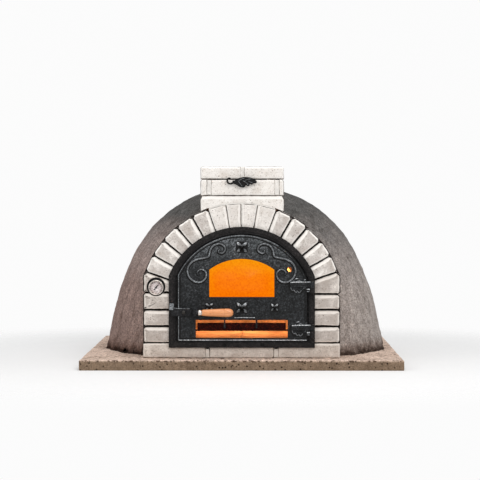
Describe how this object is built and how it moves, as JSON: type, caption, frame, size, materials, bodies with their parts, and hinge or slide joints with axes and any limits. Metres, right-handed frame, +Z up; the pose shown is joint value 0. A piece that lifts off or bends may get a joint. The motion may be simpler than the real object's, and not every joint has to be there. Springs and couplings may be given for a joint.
{
  "type": "wood fired pizza oven",
  "caption": "Domed masonry oven on a square slab, with a brick front arch, short chimney with sliding damper, and a cast iron door with window, latch and draught flap.",
  "frame": {"origin": "centre of the slab's underside", "axes": "+Z up, -Y out of the door front, +X towards the hinge side"},
  "size_m": [1.3, 1.3, 0.8165],
  "materials": {
    "slab": "rough cast",
    "render": "rough trowelled",
    "blanket": "fibrous",
    "firebrick": "matte, sooted",
    "board": "matte",
    "brick": "matte, pitted",
    "iron": "satin, grainy",
    "amber_glass": "clear, lit from inside",
    "clear_glass": "clear",
    "handle_wood": "varnished",
    "steel": "satin",
    "pin_steel": "blackened",
    "dial": "matte",
    "needle": "matte"
  },
  "bodies": {
    "oven": {"base_slab": "slab", "outer_render": "render", "insulation_blanket": "blanket", "vault_course_1": "firebrick", "vault_course_2_left": "firebrick", "vault_course_2_right": "firebrick", "vault_crown": "firebrick", "hearth_insulation": "board", "hearth_tile_left": "firebrick", "hearth_tile_right": "firebrick", "base_block_left": "brick", "base_block_centre": "brick", "base_block_right": "brick", "column_left_1": "brick", "column_left_2": "brick", "column_left_3": "brick", "column_left_4": "brick", "column_right_1": "brick", "column_right_2": "brick", "column_right_3": "brick", "column_right_4": "brick", "voussoir_01": "brick", "voussoir_02": "brick", "voussoir_03": "brick", "voussoir_04": "brick", "voussoir_05": "brick", "voussoir_06": "brick", "voussoir_07": "brick", "voussoir_08": "brick", "voussoir_09": "brick", "voussoir_10": "brick", "voussoir_11": "brick", "voussoir_12": "brick", "voussoir_13": "brick", "voussoir_14": "brick", "chimney_lintel": "brick", "chimney_lower_left": "brick", "chimney_lower_right": "brick", "chimney_lower_front": "brick", "chimney_lower_back": "brick", "chimney_upper_left": "brick", "chimney_upper_right": "brick", "door_frame": "iron", "hinge_pin_upper": "pin_steel", "hinge_pin_lower": "pin_steel", "latch_keeper": "iron", "thermometer_case": "steel", "thermometer_dial": "dial", "thermometer_glass": "clear_glass"},
    "door": {"door_leaf": "iron", "window_glass": "amber_glass", "glass_retainer": "iron", "latch_bolt": "pin_steel"},
    "latch": {"latch_lever": "iron", "latch_ferrule": "steel", "latch_handle": "handle_wood"},
    "draught": {"draught_flap": "iron"},
    "damper_body": {"damper": "iron"},
    "needle": {"thermometer_needle": "needle"}
  },
  "joints": [
    {"name": "door_swing", "type": "hinge", "parent": "oven", "child": "door", "pos_m": [0.286, -0.5745, 0.3], "axis": [0, 0, 1], "range_deg": [0, 115]},
    {"name": "latch_turn", "type": "hinge", "parent": "door", "child": "latch", "pos_m": [-0.233, -0.575, 0.228], "axis": [0, -1, 0], "range_deg": [0, 35]},
    {"name": "draught_turn", "type": "hinge", "parent": "door", "child": "draught", "pos_m": [0, -0.556, 0.1555], "axis": [-1, 0, 0], "range_deg": [0, 185]},
    {"name": "damper_slide", "type": "slide", "parent": "oven", "child": "damper_body", "axis": [0, -1, 0], "range_m": [0, 0.105]},
    {"name": "needle_turn", "type": "hinge", "parent": "oven", "child": "needle", "pos_m": [-0.346, -0.546, 0.327], "axis": [0, -1, 0], "range_deg": [-97, 172]}
  ]
}
